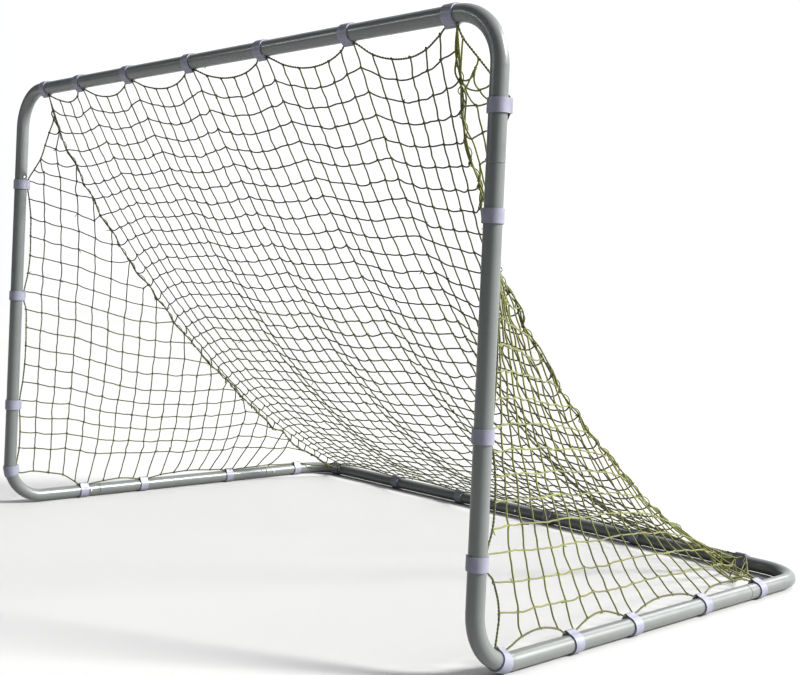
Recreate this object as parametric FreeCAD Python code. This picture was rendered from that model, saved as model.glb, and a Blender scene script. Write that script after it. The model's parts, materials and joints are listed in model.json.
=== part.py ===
"""Portable tube goal for a back yard: a snap-together steel frame with a clipped-on net.

The frame is one closed ring of eight round steel tubes: two make the crossbar and the
top corners, two are the posts with their feet, two are the side ground bars and two make
the rear ground bar. Each plug joint is a reduced spigot that slides into the next tube
and is latched by a sprung button. Thirty push-on plastic clips hold the edge cord of a
knotted net against the tubes.

Frame of the part, in millimetres: X along the crossbar, +Y from the mouth to the back,
+Z up. The origin is on the floor, in the middle of the frame's plan.
"""

import FreeCAD, Part
import math
import os

Vec = FreeCAD.Vector

# ---- driving dimensions ---------------------------------------------------------------
FRAME_WIDTH = 1795.0      # between the posts' centre lines
FRAME_HEIGHT = 1185.0     # from the ground bars' to the crossbar's centre line
FRAME_DEPTH = 1235.0      # from the posts' to the rear bar's centre line
BEND_RADIUS = 105.0       # every corner, three tube diameters
TUBE_RADIUS = 17.5
TUBE_WALL = 1.2

SPIGOT_LENGTH = 75.0
SPIGOT_CLEARANCE = 0.08   # radial, spigot in the next tube
SPIGOT_LEAD = 0.6         # taper of a spigot's tip, in its radius
NECK_LENGTH = 4.0         # where the bore narrows into the spigot
NECK_BITE = 0.2           # the neck reaches this far into the tube's wall
CUT_PAST = 5.0            # a cutting tool runs this far past what it cuts
EDGE_EASE = 1.0           # cut edge of a tube end, eased over this length
EDGE_DROP = 0.8           # and by this much of its radius
SEAM_GAP = 0.5            # between the two tube ends of a joint

BUTTON_OFFSET = 33.0      # from a seam to its snap button
BUTTON_RADIUS = 4.0
BUTTON_PROUD = 2.8        # above the tube's surface
BUTTON_HOLE = 4.8         # radius, in the outer tube
SPIGOT_HOLE = 4.35        # radius, in the spigot
DOME_SHARE = 0.45         # rounding of a button's tip, by its radius
FLANGE_RADIUS = 5.4
FLANGE_THICK = 1.0
FLANGE_DROP = 1.3         # from the spigot's bore, where its curve clears the flange
LEAF_WIDTH = 8.0
LEAF_THICK = 0.8
LEAF_REACH = 48.0         # from the button to the leaf spring's fold
LEAF_PAD = 6.5            # half length of the flat pad under a button
FOLD_HALF = 2.5
LEAF_GAP = 0.1            # between a button's flange and its leaf spring

CLIP_LENGTH = 27.0        # along the tube
CLIP_GAP = 0.05           # radial, clip on tube
CLIP_WALL = 3.0
CLIP_MOUTH = 60.0         # degrees left open
MOUTH_TURN = 95.0         # degrees from the cord's channel to the mouth's middle
CLIP_BEAD = 2.0           # radius of the bead along each lip
BEAD_PROUD = 0.7          # the bead past the clip's outer face
FLANK_TURN = 38.0         # degrees from the channel to where its flanks meet the ring
CORD_RADIUS = 2.5         # the net's edge cord
CHANNEL_RADIUS = 3.1      # hollow that holds the cord
CHANNEL_WALL = 2.6
CORD_EASE = 10.0          # length of cord that bends where it leaves a clip

NET_THICK = 3.0           # the twine's own thickness
LACING_RADIUS = 5.0       # gathered meshes and lacing along a seam
NET_MARGIN = 12.0         # between the back's edge and the middle of a seam
SEAM_POWER = 2.6          # how hollow the seams and the back hang

# ---- places that follow from them -----------------------------------------------------
GROUND_Z = TUBE_RADIUS + CLIP_WALL
TOP_Z = GROUND_Z + FRAME_HEIGHT
SIDE_X = FRAME_WIDTH / 2
MOUTH_Y = -FRAME_DEPTH / 2
REAR_Y = FRAME_DEPTH / 2
BORE_RADIUS = TUBE_RADIUS - TUBE_WALL
SPIGOT_RADIUS = BORE_RADIUS - SPIGOT_CLEARANCE
SPIGOT_BORE = SPIGOT_RADIUS - TUBE_WALL
POST_SEAM_Z = GROUND_Z + 905.0
FRONT_SEAM_Y = MOUTH_Y + 297.0
REAR_SEAM_Y = MOUTH_Y + 953.0
MIDDLE_SEAM_X = -BUTTON_OFFSET

# Clip places: distances along each member, and on a bend the angle from its start.
CROSSBAR_CLIPS = (-761.5, -574.5, -332.5, -59.5, 216.5, 495.5, 778.0)
LEFT_POST_CLIPS = (917.0, 593.0, 274.0)
RIGHT_POST_CLIPS = (1008.0, 813.0, 422.0, 195.0)
LEFT_FOOT_CLIP = 13.0
RIGHT_FOOT_CLIP = 74.0
LEFT_BAR_CLIPS = (243.0, 458.0, 797.0, 1095.0)
RIGHT_BAR_CLIPS = (294.0, 495.0, 764.0, 1005.0)
REAR_CORNER_CLIP = 73.0
REAR_BAR_CLIPS = (-522.5, -236.5, 116.5, 416.5, 733.5)

X = Vec(1, 0, 0)
Y = Vec(0, 1, 0)
Z = Vec(0, 0, 1)


def save(shape, node):
    """One STEP file per node."""
    assert shape.isValid(), node
    shape.exportStep("parts/" + node + ".step")


def rod(start, end, radius):
    """A solid round rod between two points."""
    run = end - start
    return Part.makeCylinder(radius, run.Length, start, run)


def taper(start, end, radius_start, radius_end):
    run = end - start
    return Part.makeCone(radius_start, radius_end, run.Length, start, run)


def disc(centre, normal, radius):
    return Part.Face(Part.Wire(Part.makeCircle(radius, centre, normal)))


def tangent_length(bend_radius, before, after):
    """How far from its corner a bend starts and ends."""
    return bend_radius * math.tan(before.getAngle(after) / 2)


def along_path(points, radius, bend_radii):
    """A solid rod through the points, with a bend at each inner one."""
    runs = []
    start = points[0]
    for i, bend_radius in enumerate(bend_radii):
        corner = points[i + 1]
        before = (corner - points[i]).normalize()
        after = (points[i + 2] - corner).normalize()
        reach = tangent_length(bend_radius, before, after)
        inward = (after - before).normalize()
        middle = corner + inward * (math.hypot(reach, bend_radius) - bend_radius)
        end = corner + after * reach
        runs.append(Part.makeLine(start, corner - before * reach))
        runs.append(Part.Arc(corner - before * reach, middle, end).toShape())
        start = end
    runs.append(Part.makeLine(start, points[-1]))
    return Part.Wire(runs).makePipe(disc(points[0], points[1] - points[0], radius))


def make_tube(points, male_ends, female_ends, holes):
    """A tube along the points. A male end carries a spigot past its last point, and a
    female end starts a seam gap further back. holes are (seat, direction, radius) sets."""
    points = list(points)
    ends = {0: (points[0] - points[1]).normalize(), -1: (points[-1] - points[-2]).normalize()}
    for end in female_ends:
        points[end] = points[end] - ends[end] * SEAM_GAP
    core = list(points)
    past = list(points)
    for end in (0, -1):
        core[end] = points[end] - ends[end] * EDGE_EASE
        past[end] = points[end] + ends[end] * CUT_PAST
    bend_radii = [BEND_RADIUS] * (len(points) - 2)
    solid = along_path(core, TUBE_RADIUS, bend_radii)
    for end in (0, -1):
        solid = solid.fuse(taper(core[end], points[end], TUBE_RADIUS, TUBE_RADIUS - EDGE_DROP))
    solid = solid.cut(along_path(past, BORE_RADIUS, bend_radii))
    for end in male_ends:
        solid = solid.fuse(spigot(points[end], ends[end]))
    for seat, direction, radius in holes:
        solid = solid.cut(rod(seat, seat + direction * (TUBE_RADIUS + CUT_PAST), radius))
    return solid.removeSplitter()


def spigot(seam, heading):
    """The reduced end of a tube, from the neck inside the tube to the spigot's tip."""
    root = seam - heading * (NECK_LENGTH + EDGE_EASE)
    neck = seam - heading * EDGE_EASE
    tip = seam + heading * SPIGOT_LENGTH
    lead = tip - heading * EDGE_EASE
    plug = rod(root, lead, SPIGOT_RADIUS)
    plug = plug.fuse(taper(lead, tip, SPIGOT_RADIUS, SPIGOT_RADIUS - SPIGOT_LEAD))
    plug = plug.fuse(rod(root, seam, BORE_RADIUS + NECK_BITE))
    plug = plug.cut(rod(neck, tip + heading * CUT_PAST, SPIGOT_BORE))
    return plug.cut(taper(root, neck, BORE_RADIUS, SPIGOT_BORE))


def make_button(seat, direction):
    """A domed snap button with the flange that stops it inside the spigot."""
    face = seat + direction * (SPIGOT_BORE - FLANGE_DROP)
    base = face - direction * FLANGE_THICK
    tip = seat + direction * (TUBE_RADIUS + BUTTON_PROUD)
    stem = rod(base, tip, BUTTON_RADIUS)
    rim = [edge for edge in stem.Edges if isinstance(edge.Curve, Part.Circle)
           and edge.CenterOfMass.isEqual(tip, EDGE_DROP)]
    domed = stem.makeFillet(BUTTON_RADIUS * DOME_SHARE, rim)
    return rod(base, face, FLANGE_RADIUS).fuse(domed).removeSplitter()


def make_leaf(seat, direction, tip_heading):
    """The folded leaf spring under a button: a flat pad, a fold and an arm on the far wall."""
    width_axis = direction.cross(tip_heading)
    half_width = LEAF_WIDTH / 2
    pad_n = SPIGOT_BORE - FLANGE_DROP - FLANGE_THICK - LEAF_GAP - LEAF_THICK / 2
    arm_n = LEAF_THICK - math.sqrt(SPIGOT_BORE ** 2 - half_width ** 2)
    route = [(LEAF_PAD, pad_n), (-LEAF_PAD, pad_n), (-LEAF_REACH, FOLD_HALF),
             (-LEAF_REACH - FOLD_HALF, 0.0), (-LEAF_REACH, -FOLD_HALF),
             (-LEAF_PAD, arm_n), (LEAF_PAD, arm_n)]
    path = Part.makePolygon([seat + tip_heading * a + direction * n for a, n in route])
    strip = Part.Face(path.makeOffset2D(LEAF_THICK / 2)).extrude(width_axis * LEAF_WIDTH)
    strip.translate(width_axis * -half_width)
    return strip


def make_clip(centre, axis, towards_net, mouth_side, sweep):
    """A push-on clip: an open ring, a channel for the edge cord on the net's side and a
    bead along each lip. sweep turns each flat face across the tube into a solid."""
    side = axis.cross(towards_net) * mouth_side
    outer = TUBE_RADIUS + CLIP_WALL
    cord = centre + towards_net * (TUBE_RADIUS + CHANNEL_RADIUS)
    channel = CHANNEL_RADIUS + CHANNEL_WALL
    lips = (MOUTH_TURN - CLIP_MOUTH / 2, MOUTH_TURN + CLIP_MOUTH / 2)

    def at(radius, degrees):
        return centre + lean(towards_net, side, degrees) * radius

    def beside_cord(sign):
        return cord + lean(side * sign, towards_net, 25.0) * channel

    def round_solid(middle, radius):
        return sweep(disc(middle, axis, radius))

    def flat_sided(points):
        return sweep(Part.Face(Part.makePolygon(points + points[:1])))

    body = round_solid(centre, outer)
    body = body.fuse(round_solid(cord, channel))
    body = body.fuse(flat_sided([centre, at(outer - 0.5, -FLANK_TURN), beside_cord(-1),
                                 beside_cord(1), at(outer - 0.5, FLANK_TURN)]))
    body = body.cut(flat_sided([centre, at(outer * 1.4, lips[0]),
                                at(outer * 1.6, MOUTH_TURN), at(outer * 1.4, lips[1])]))
    for lip in lips:
        body = body.fuse(round_solid(at(outer - CLIP_BEAD + BEAD_PROUD, lip), CLIP_BEAD))
    body = body.cut(round_solid(centre, TUBE_RADIUS + CLIP_GAP))
    return body.cut(round_solid(cord, CHANNEL_RADIUS)).removeSplitter()


def clip_on_straight(place):
    run = place["axis"] * CLIP_LENGTH
    return make_clip(place["centre"] - run * 0.5, place["axis"], place["net"],
                     place["mouth"], lambda face: face.extrude(run))


def clip_on_bend(place):
    hub, turn_axis = place["bend"]
    half = math.degrees(CLIP_LENGTH / 2 / BEND_RADIUS)

    def back(vector):
        return turned(vector, turn_axis, -half)

    return make_clip(hub + back(place["centre"] - hub), back(place["axis"]),
                     back(place["net"]), place["mouth"],
                     lambda face: face.revolve(hub, turn_axis, 2 * half))


def lean(first, second, degrees):
    """A unit vector turned from the first direction towards the second."""
    a = math.radians(degrees)
    return first * math.cos(a) + second * math.sin(a)


def turned(vector, axis, degrees):
    return FreeCAD.Rotation(axis, degrees).multVec(vector)


# ---- tubes ----------------------------------------------------------------------------
def corner_points():
    """The ring's corners on its centre lines."""
    return {
        "top_left": Vec(-SIDE_X, MOUTH_Y, TOP_Z),
        "top_right": Vec(SIDE_X, MOUTH_Y, TOP_Z),
        "foot_left": Vec(-SIDE_X, MOUTH_Y, GROUND_Z),
        "foot_right": Vec(SIDE_X, MOUTH_Y, GROUND_Z),
        "rear_left": Vec(-SIDE_X, REAR_Y, GROUND_Z),
        "rear_right": Vec(SIDE_X, REAR_Y, GROUND_Z),
    }


def joint_table():
    """Each plug joint: its seam, which way its spigot points and where its button looks."""
    joints = {
        "crossbar": (Vec(MIDDLE_SEAM_X, MOUTH_Y, TOP_Z), X, -Z),
        "rear_bar": (Vec(MIDDLE_SEAM_X, REAR_Y, GROUND_Z), X, -Y),
    }
    for side, sign in (("left", -1), ("right", 1)):
        inward = X * -sign
        joints[side + "_post"] = (Vec(sign * SIDE_X, MOUTH_Y, POST_SEAM_Z), Z, inward)
        joints[side + "_front"] = (Vec(sign * SIDE_X, FRONT_SEAM_Y, GROUND_Z), -Y, inward)
        joints[side + "_rear"] = (Vec(sign * SIDE_X, REAR_SEAM_Y, GROUND_Z), Y, inward)
    return joints


CORNERS = corner_points()
JOINTS = joint_table()


def seat_of(joint):
    seam, heading, look = JOINTS[joint]
    return seam + heading * BUTTON_OFFSET


def outer_hole(joint):
    return seat_of(joint), JOINTS[joint][2], BUTTON_HOLE


def spigot_hole(joint):
    return seat_of(joint), JOINTS[joint][2], SPIGOT_HOLE


def make_tubes():
    seam = {name: JOINTS[name][0] for name in JOINTS}
    tubes = {
        "top_left_tube": make_tube(
            (seam["left_post"], CORNERS["top_left"], seam["crossbar"]),
            (-1,), (0,), (outer_hole("left_post"), spigot_hole("crossbar"))),
        "top_right_tube": make_tube(
            (seam["crossbar"], CORNERS["top_right"], seam["right_post"]),
            (), (0, -1), (outer_hole("crossbar"), outer_hole("right_post"))),
        "rear_left_tube": make_tube(
            (seam["left_rear"], CORNERS["rear_left"], seam["rear_bar"]),
            (-1,), (0,), (outer_hole("left_rear"), spigot_hole("rear_bar"))),
        "rear_right_tube": make_tube(
            (seam["rear_bar"], CORNERS["rear_right"], seam["right_rear"]),
            (), (0, -1), (outer_hole("rear_bar"), outer_hole("right_rear"))),
    }
    for side in ("left", "right"):
        tubes[side + "_post"] = make_tube(
            (seam[side + "_post"], CORNERS["foot_" + side], seam[side + "_front"]),
            (0,), (-1,), (spigot_hole(side + "_post"), outer_hole(side + "_front")))
        tubes[side + "_side_bar"] = make_tube(
            (seam[side + "_front"], seam[side + "_rear"]),
            (0, -1), (), (spigot_hole(side + "_front"), spigot_hole(side + "_rear")))
    return tubes


# ---- clips ----------------------------------------------------------------------------
def clip_places():
    """Round the ring from the left foot. Each place has its centre on the tube, the way the
    tube runs, the net's side and the side of the mouth. One on a bend also has the point
    and the direction that the bend turns about."""
    places = []

    def straight(node, centre, axis, net_side, mouth_side):
        places.append({"node": node, "centre": centre, "axis": axis, "net": net_side,
                       "mouth": mouth_side})

    def bent(node, corner, along, out, degrees, net_side, mouth_side):
        turn_axis = along.cross(out)
        hub = corner + (out - along) * BEND_RADIUS
        places.append({
            "node": node, "axis": turned(along, turn_axis, degrees),
            "centre": hub + turned(out * -BEND_RADIUS, turn_axis, degrees),
            "net": turned(net_side, turn_axis, degrees), "mouth": mouth_side,
            "bend": (hub, turn_axis)})

    bent("left_post_clip_1", CORNERS["foot_left"], -Y, Z, 90.0 - LEFT_FOOT_CLIP, Z, 1)
    for i, height in enumerate(reversed(LEFT_POST_CLIPS)):
        centre = Vec(-SIDE_X, MOUTH_Y, GROUND_Z + height)
        straight("left_post_clip_%d" % (i + 2), centre, Z, lean(Y, X, 20.0), 1)
    for i, x in enumerate(CROSSBAR_CLIPS):
        centre = Vec(x, MOUTH_Y, TOP_Z)
        straight("crossbar_clip_%d" % (i + 1), centre, X, lean(-Z, Y, 5.0 * (i % 3)), 1)
    for i, height in enumerate(RIGHT_POST_CLIPS):
        centre = Vec(SIDE_X, MOUTH_Y, GROUND_Z + height)
        swing = 42.0 if i == 0 else 5.0
        straight("right_post_clip_%d" % (i + 1), centre, -Z, lean(Y, X, swing), -1)
    bent("right_side_clip_1", CORNERS["foot_right"], -Z, Y, RIGHT_FOOT_CLIP,
         lean(Y, -X, 20.0), -1)
    for i, y in enumerate(RIGHT_BAR_CLIPS):
        centre = Vec(SIDE_X, MOUTH_Y + y, GROUND_Z)
        straight("right_side_clip_%d" % (i + 2), centre, Y, lean(Z, -X, 20.0), -1)
    for i, x in enumerate(reversed(REAR_BAR_CLIPS)):
        centre = Vec(x, REAR_Y, GROUND_Z)
        straight("rear_clip_%d" % (i + 1), centre, -X, lean(Z, -Y, 24.0), 1)
    bent("rear_clip_6", CORNERS["rear_left"], -X, -Y, 90.0 - REAR_CORNER_CLIP,
         lean(Z, -Y, 24.0), 1)
    for i, y in enumerate(reversed(LEFT_BAR_CLIPS)):
        centre = Vec(-SIDE_X, MOUTH_Y + y, GROUND_Z)
        straight("left_side_clip_%d" % (i + 1), centre, -Y, lean(Z, X, 18.0), 1)
    return places


# ---- net ------------------------------------------------------------------------------
def seam_point(side, turn):
    """A point of a side seam; turn runs from 0 degrees at the crossbar to 90 at the rear."""
    a = math.radians(turn)
    top = abs(CROSSBAR_CLIPS[0]) if side < 0 else CROSSBAR_CLIPS[-1]
    foot = SIDE_X - 75.0 if side < 0 else REAR_BAR_CLIPS[-1]
    half = top + (foot - top) * turn / 90.0 - 60.0 * math.sin(2 * a)
    y = MOUTH_Y + FRAME_DEPTH * math.sin(a) ** SEAM_POWER
    z = GROUND_Z + FRAME_HEIGHT * math.cos(a) ** SEAM_POWER
    return Vec(side * half, y, z)


def thin_strip(start, end, normal):
    """A closed flat rectangle of the net's thickness, between two points."""
    lift = normal * (NET_THICK / 2)
    return Part.makePolygon([start + lift, end + lift, end - lift, start - lift, start + lift])


def make_back_net():
    wires = []
    for turn in (13, 20, 28, 36, 44, 52, 60, 68, 76, 83):
        left = seam_point(-1, turn) + X * NET_MARGIN
        right = seam_point(1, turn) - X * NET_MARGIN
        slope = seam_point(1, turn + 1) - seam_point(1, turn - 1)
        wires.append(thin_strip(left, right, Vec(0, -slope.z, slope.y).normalize()))
    return Part.makeLoft(wires, True, False)


def make_side_net(side):
    """Strips from the post and then from the side bar to the seam, as two lofts that share
    the strip at the foot."""
    top_clip = max(LEFT_POST_CLIPS if side < 0 else RIGHT_POST_CLIPS)
    top = Vec(side * (SIDE_X - 4.0), MOUTH_Y + 44.0, GROUND_Z + min(top_clip, 920.0) - 20.0)
    foot = Vec(top.x, MOUTH_Y + 85.0, GROUND_Z + 85.0)
    heel = Vec(side * (SIDE_X - 14.0), MOUTH_Y + 950.0, GROUND_Z + 58.0)
    halves = []
    for start, end, turns, run_dirs in ((top, foot, (23, 48), (-Z, Y - Z)),
                                        (foot, heel, (48, 70), (Y - Z, Y))):
        wires = []
        steps = 5
        for i in range(steps + 1):
            share = i / steps
            edge = start + (end - start) * share
            seam = seam_point(side, turns[0] + (turns[1] - turns[0]) * share)
            run = (seam - edge).normalize()
            down = run_dirs[0] * (1 - share) + run_dirs[1] * share
            inner = seam - run * (LACING_RADIUS + 4.0)
            wires.append(thin_strip(edge, inner, run.cross(down).normalize()))
        halves.append(Part.makeLoft(wires, True, False))
    return halves[0].fuse(halves[1])


def eased_radii(points, reaches):
    """A bend radius for each inner point: from its own reach, or as large as its runs allow."""
    radii = []
    for i in range(1, len(points) - 1):
        before = points[i] - points[i - 1]
        after = points[i + 1] - points[i]
        reach = reaches[i] or 0.45 * min(before.Length, after.Length)
        radii.append(reach / math.tan(before.getAngle(after) / 2))
    return radii


def make_lacing(side):
    """The gathered seam between the back and a side of the net."""
    points = [seam_point(side, turn) for turn in range(11, 80, 4)]
    return along_path(points, LACING_RADIUS, eased_radii(points, [None] * len(points)))


def cord_pull(middle):
    """Which way the edge cord is drawn between two clips, and by what share of the span."""
    if middle.z > TOP_Z - 60.0:
        return lean(-Z, Y, 20.0), 0.13
    if middle.z > TOP_Z - 2 * BEND_RADIUS:
        return Y, 0.20
    if middle.z > GROUND_Z + 60.0:
        return Y, 0.04
    if middle.y < REAR_Y - 60.0:
        return Z, 0.06
    return lean(Z, -Y, 45.0), 0.07


def cord_seat(place):
    """The cord's route through a clip, as points with the reach of the bend at each."""
    middle = place["centre"] + place["net"] * (TUBE_RADIUS + CHANNEL_RADIUS)
    half = CLIP_LENGTH / 2 + 1.0
    if "bend" not in place:
        run = place["axis"] * (half + CORD_EASE)
        return [(middle - run, CORD_EASE), (middle + run, CORD_EASE)]
    hub, turn_axis = place["bend"]
    arm = middle - hub
    out = arm - turn_axis * arm.dot(turn_axis)
    turn = math.degrees(half / out.Length)
    reach = out.Length * math.tan(math.radians(turn))
    corner = middle + out * (1 / math.cos(math.radians(turn)) - 1)
    run = reach + CORD_EASE + 0.5
    before = turned(place["axis"], turn_axis, -turn) * run
    after = turned(place["axis"], turn_axis, turn) * run
    return [(corner - before, CORD_EASE), (corner, reach), (corner + after, CORD_EASE)]


def cord_span(start, end):
    """Points of the cord between two clips, on a shallow curve."""
    chord = end - start
    pull, share = cord_pull((start + end) * 0.5)
    heading = Vec(chord).normalize()
    across = (pull - heading * pull.dot(heading)).normalize()
    steps = max(2, round(chord.Length / 60.0))
    points = []
    for k in range(1, steps):
        t = k / steps
        points.append(start + chord * t + across * (4 * t * (1 - t) * share * chord.Length))
    return points


def make_edge_cord(places):
    """The net's edge cord, once round the ring through every clip. Its two ends meet in the
    middle of the first straight clip, where a short gap keeps them apart."""
    first = next(i for i, place in enumerate(places) if "bend" not in place)
    places = places[first:] + places[:first]
    seats = [cord_seat(place) for place in places]
    middle = (seats[0][0][0] + seats[0][-1][0]) * 0.5
    route = [(middle + places[0]["axis"], 0.0), seats[0][-1]]
    for seat, following in zip(seats, seats[1:] + seats[:1]):
        for point in cord_span(seat[-1][0], following[0][0]):
            route.append((point, None))
        route += following[:-1] if following is seats[0] else following
    route.append((middle - places[0]["axis"], 0.0))
    points = [point for point, reach in route]
    reaches = [reach for point, reach in route]
    return along_path(points, CORD_RADIUS, eased_radii(points, reaches)).removeSplitter()


def main():
    os.makedirs("parts", exist_ok=True)
    for node, tube in make_tubes().items():
        save(tube, node)
    for joint, (seam, heading, look) in JOINTS.items():
        seat = seat_of(joint)
        save(make_button(seat, look), joint + "_button")
        save(make_leaf(seat, look, heading), joint + "_leaf_spring")
    places = clip_places()
    for place in places:
        clip = clip_on_bend(place) if "bend" in place else clip_on_straight(place)
        save(clip, place["node"])
    save(make_edge_cord(places), "net_edge_cord")
    save(make_back_net(), "back_net")
    for name, side in (("left", -1), ("right", 1)):
        save(make_side_net(side), name + "_side_net")
        save(make_lacing(side), name + "_seam_lacing")


main()
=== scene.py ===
import json
import math

import bpy
import numpy as np
from mathutils import Matrix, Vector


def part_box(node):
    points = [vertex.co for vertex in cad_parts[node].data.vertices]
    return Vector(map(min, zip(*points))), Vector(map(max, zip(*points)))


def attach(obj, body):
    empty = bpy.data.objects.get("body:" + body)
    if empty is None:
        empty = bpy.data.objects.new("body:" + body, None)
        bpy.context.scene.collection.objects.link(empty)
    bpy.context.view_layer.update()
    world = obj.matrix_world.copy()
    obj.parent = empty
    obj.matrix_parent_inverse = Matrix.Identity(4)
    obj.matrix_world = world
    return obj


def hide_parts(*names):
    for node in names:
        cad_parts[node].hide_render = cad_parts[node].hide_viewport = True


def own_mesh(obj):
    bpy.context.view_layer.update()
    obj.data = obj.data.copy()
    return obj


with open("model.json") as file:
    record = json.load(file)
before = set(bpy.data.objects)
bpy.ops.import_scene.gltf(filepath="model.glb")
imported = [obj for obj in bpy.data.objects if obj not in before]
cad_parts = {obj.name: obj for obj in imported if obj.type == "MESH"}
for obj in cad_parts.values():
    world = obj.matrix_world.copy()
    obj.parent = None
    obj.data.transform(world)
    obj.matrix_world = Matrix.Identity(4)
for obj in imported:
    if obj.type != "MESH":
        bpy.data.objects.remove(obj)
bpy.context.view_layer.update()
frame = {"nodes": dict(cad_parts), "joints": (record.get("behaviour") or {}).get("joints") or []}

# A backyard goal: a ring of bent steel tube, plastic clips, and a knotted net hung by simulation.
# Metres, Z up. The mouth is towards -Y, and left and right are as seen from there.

scene = bpy.context.scene
X, Y, Z = np.eye(3)

# ---------------------------------------------------------------- camera
LENS, SENSOR = 52.83, 36.0  # mm
CAMERA_PLACE = (2.261, -2.2165, 0.7225)
YAW, PITCH, ROLL = 0.8486, -0.0181, 0.0431  # radians
SHIFT = (0.0987, -0.0561)
NEAREST, FARTHEST = 0.05, 60.0  # what the camera sees


def standing(place_at, right, up, back):
    """The matrix of a camera or a light, which looks along its own -Z."""
    turn = Matrix([[right[k], up[k], back[k]] for k in range(3)])
    return Matrix.Translation(place_at) @ turn.to_4x4()


def make_camera():
    ahead = np.array([-math.sin(YAW) * math.cos(PITCH),
                      math.cos(YAW) * math.cos(PITCH),
                      math.sin(PITCH)])
    level = np.array([math.cos(YAW), math.sin(YAW), 0.0])
    over = np.cross(level, ahead)
    right = math.cos(ROLL) * level + math.sin(ROLL) * over
    up = -math.sin(ROLL) * level + math.cos(ROLL) * over
    data = bpy.data.cameras.new("camera")
    data.lens, data.sensor_width = LENS, SENSOR
    data.shift_x, data.shift_y = SHIFT
    data.clip_start, data.clip_end = NEAREST, FARTHEST
    camera = bpy.data.objects.new("camera", data)
    scene.collection.objects.link(camera)
    camera.matrix_world = standing(CAMERA_PLACE, right, up, -ahead)
    scene.camera = camera


make_camera()


# ---------------------------------------------------------------- the frame's lines, from the CAD
def corners(node):
    lo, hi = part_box(node)
    return np.array(lo[:]), np.array(hi[:])


bar_lo, bar_hi = corners("right_side_bar")
TUBE = (bar_hi[2] - bar_lo[2]) / 2
GROUND = (bar_lo[2] + bar_hi[2]) / 2
SIDE = (bar_lo[0] + bar_hi[0]) / 2
MOUTH = corners("right_post")[0][1] + TUBE
REAR = corners("rear_right_tube")[1][1] - TUBE
TOP = corners("top_right_tube")[1][2] - TUBE
BEND = 0.105  # centre-line radius of the frame's bends
CHANNEL = 0.0206  # from a tube's centre line to the cord in a clip
HALF_CLIP = 0.0135  # half of a clip's length along its tube
LOW, HIGH = 0.2, 0.6  # under LOW a clip is on the ground bars, over HIGH it is nearer the crossbar
WELL_IN = 0.002  # a clip's middle is this far inside a bend's end when the clip is on the bend
OUTERMOST = 0.0012  # a clip's points this near to its farthest one show where its channel is


def node_points(node):
    mesh = frame["nodes"][node].data
    flat = np.empty(len(mesh.vertices) * 3)
    mesh.vertices.foreach_get("co", flat)
    return flat.reshape(-1, 3)


def clip_place(node, tube_axis):
    """Where the border cord lies in a clip, and which way it runs there."""
    lo, hi = corners(node)
    centre = (lo + hi) / 2
    points = node_points(node)
    corner = np.array([np.sign(centre[0]) * SIDE,
                       MOUTH if centre[1] < 0 else REAR,
                       TOP if centre[2] > HIGH else GROUND])
    away = abs(centre - corner)
    near = sum(away < BEND - WELL_IN)  # in how many of the three directions it is at the corner
    if near == 3 or (near == 2 and away[np.argmax(tube_axis)] < BEND):
        # on a foot bend or a rear corner: a quarter circle in the plane of the two tubes
        across = 0 if centre[2] < LOW and centre[1] < 0 else 2
        inward = np.array([-np.sign(corner[0]), -np.sign(corner[1]),
                           1.0 if corner[2] < HIGH else -1.0])
        inward[across] = 0.0
        middle = corner + BEND * inward
        middle[across] = corner[across]
        mean = points.mean(0)
        mean[across] = middle[across]
        out = (mean - middle) / np.linalg.norm(mean - middle)
        on_line = middle + BEND * out
        axis = np.cross(np.eye(3)[across], out)
    else:
        on_line = corner.copy()
        along = int(np.argmax(tube_axis))
        on_line[along] = centre[along]
        axis = np.array(tube_axis, float)
    points = points - on_line
    points -= np.outer(points @ axis, axis)
    reach = np.linalg.norm(points, axis=1)
    channel = points[reach > reach.max() - OUTERMOST].mean(0)
    return {"at": on_line + CHANNEL * channel / np.linalg.norm(channel), "axis": axis}


def clip_run(stem, count, tube_axis):
    return [clip_place(f"{stem}_{k + 1}", tube_axis) for k in range(count)]


crossbar_clips = clip_run("crossbar_clip", 7, X)
left_post_clips = clip_run("left_post_clip", 4, Z)
# a post's row starts with the clip on its foot bend, which on the right is the side bar's first
right_post_clips = [clip_place("right_side_clip_1", Y)] + clip_run("right_post_clip", 4, Z)
right_bar_clips = [clip_place(f"right_side_clip_{k}", Y) for k in (2, 3, 4, 5)]
left_bar_clips = clip_run("left_side_clip", 4, Y)
rear_clips = clip_run("rear_clip", 6, X)
for row, key in ((left_post_clips, 2), (right_post_clips, 2), (right_bar_clips, 1),
                 (left_bar_clips, 1), (rear_clips, 0)):
    row.sort(key=lambda c: c["at"][key])

# ---------------------------------------------------------------- the net as knots joined by twine
MESH = 0.0505  # side of one square of the net
ROWS = 37
SPANS_TOP = (4, 5, 6, 6, 6, 6)  # squares between the crossbar's clips, from the left
SPANS_REAR = (7, 6, 7, 6, 7)  # and between the rear bar's
COLUMNS = sum(SPANS_TOP)

# the border cord
TOP_SLACK = (0.075, 0.034, 0.022, 0.024, 0.034, 0.072)  # how much longer than each span it is
REAR_SLACK = 0.03
MIN_SLACK, MIN_CORD = 0.002, 0.010  # the least a span's slack and a bow's last length may be

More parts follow.
